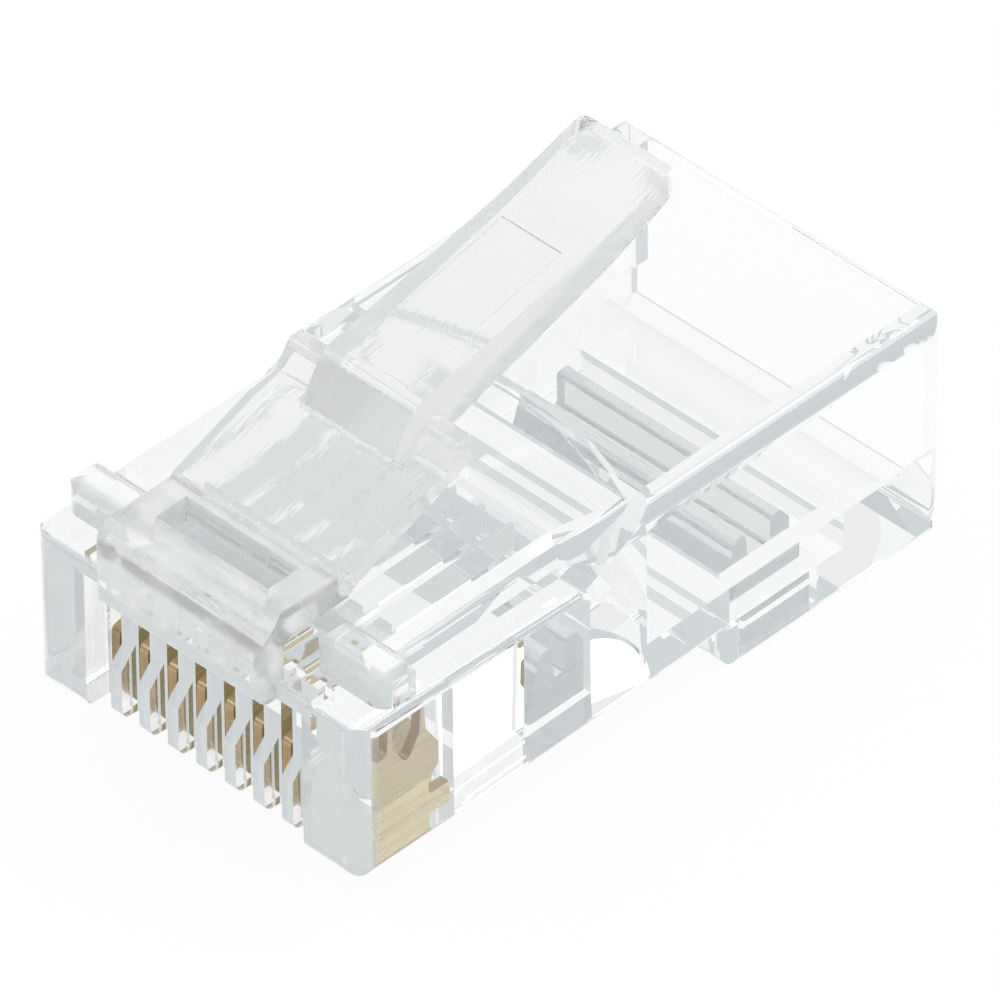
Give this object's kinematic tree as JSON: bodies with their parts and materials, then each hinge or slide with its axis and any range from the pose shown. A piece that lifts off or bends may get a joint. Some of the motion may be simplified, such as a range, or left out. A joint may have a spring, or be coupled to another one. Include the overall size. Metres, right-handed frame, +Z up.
{
  "type": "rj45 modular plug",
  "caption": "Clear moulded modular plug with a sprung locking latch, gold-plated blade contacts and strain-relief bars for twisted-pair cable.",
  "frame": {"origin": "under the middle of the plug's bounding box, on the plane of the cable section's underside", "axes": "+X across the contacts, +Y from the mating nose towards the cable end, +Z up through the latch"},
  "size_m": [0.0116, 0.0218, 0.0126],
  "materials": {
    "clear_plastic": "clear polished polycarbonate",
    "gold_plate": "gold-plated, brushed by stamping"
  },
  "bodies": {
    "housing": {"plug_housing": "clear_plastic"},
    "latch": {"latch_lever": "clear_plastic"},
    "cable_clamp": {"cable_clamp": "clear_plastic"},
    "wire_clamp": {"wire_clamp": "clear_plastic"},
    "contact_1": {"contact_1": "gold_plate"},
    "contact_2": {"contact_2": "gold_plate"},
    "contact_3": {"contact_3": "gold_plate"},
    "contact_4": {"contact_4": "gold_plate"},
    "contact_5": {"contact_5": "gold_plate"},
    "contact_6": {"contact_6": "gold_plate"},
    "contact_7": {"contact_7": "gold_plate"},
    "contact_8": {"contact_8": "gold_plate"}
  },
  "joints": [
    {"name": "latch_bend", "type": "hinge", "parent": "housing", "child": "latch", "pos_m": [0, -0.00779, 0.0078], "axis": [1, 0, 0], "range_deg": [-19, 0], "stiffness_Nm_per_rad": 0.02},
    {"name": "cable_clamp_tip", "type": "hinge", "parent": "housing", "child": "cable_clamp", "pos_m": [0, 0.00462, 0.0003], "axis": [1, 0, 0], "range_deg": [0, 20]},
    {"name": "wire_clamp_tip", "type": "hinge", "parent": "housing", "child": "wire_clamp", "pos_m": [0, -0.00318, 0.00164], "axis": [1, 0, 0], "range_deg": [0, 18]},
    {"name": "contact_1_press", "type": "slide", "parent": "housing", "child": "contact_1", "axis": [0, 0, 1], "range_m": [0, 0.0006]},
    {"name": "contact_2_press", "type": "slide", "parent": "housing", "child": "contact_2", "axis": [0, 0, 1], "range_m": [0, 0.0006]},
    {"name": "contact_3_press", "type": "slide", "parent": "housing", "child": "contact_3", "axis": [0, 0, 1], "range_m": [0, 0.0006]},
    {"name": "contact_4_press", "type": "slide", "parent": "housing", "child": "contact_4", "axis": [0, 0, 1], "range_m": [0, 0.0006]},
    {"name": "contact_5_press", "type": "slide", "parent": "housing", "child": "contact_5", "axis": [0, 0, 1], "range_m": [0, 0.0006]},
    {"name": "contact_6_press", "type": "slide", "parent": "housing", "child": "contact_6", "axis": [0, 0, 1], "range_m": [0, 0.0006]},
    {"name": "contact_7_press", "type": "slide", "parent": "housing", "child": "contact_7", "axis": [0, 0, 1], "range_m": [0, 0.0006]},
    {"name": "contact_8_press", "type": "slide", "parent": "housing", "child": "contact_8", "axis": [0, 0, 1], "range_m": [0, 0.0006]}
  ]
}
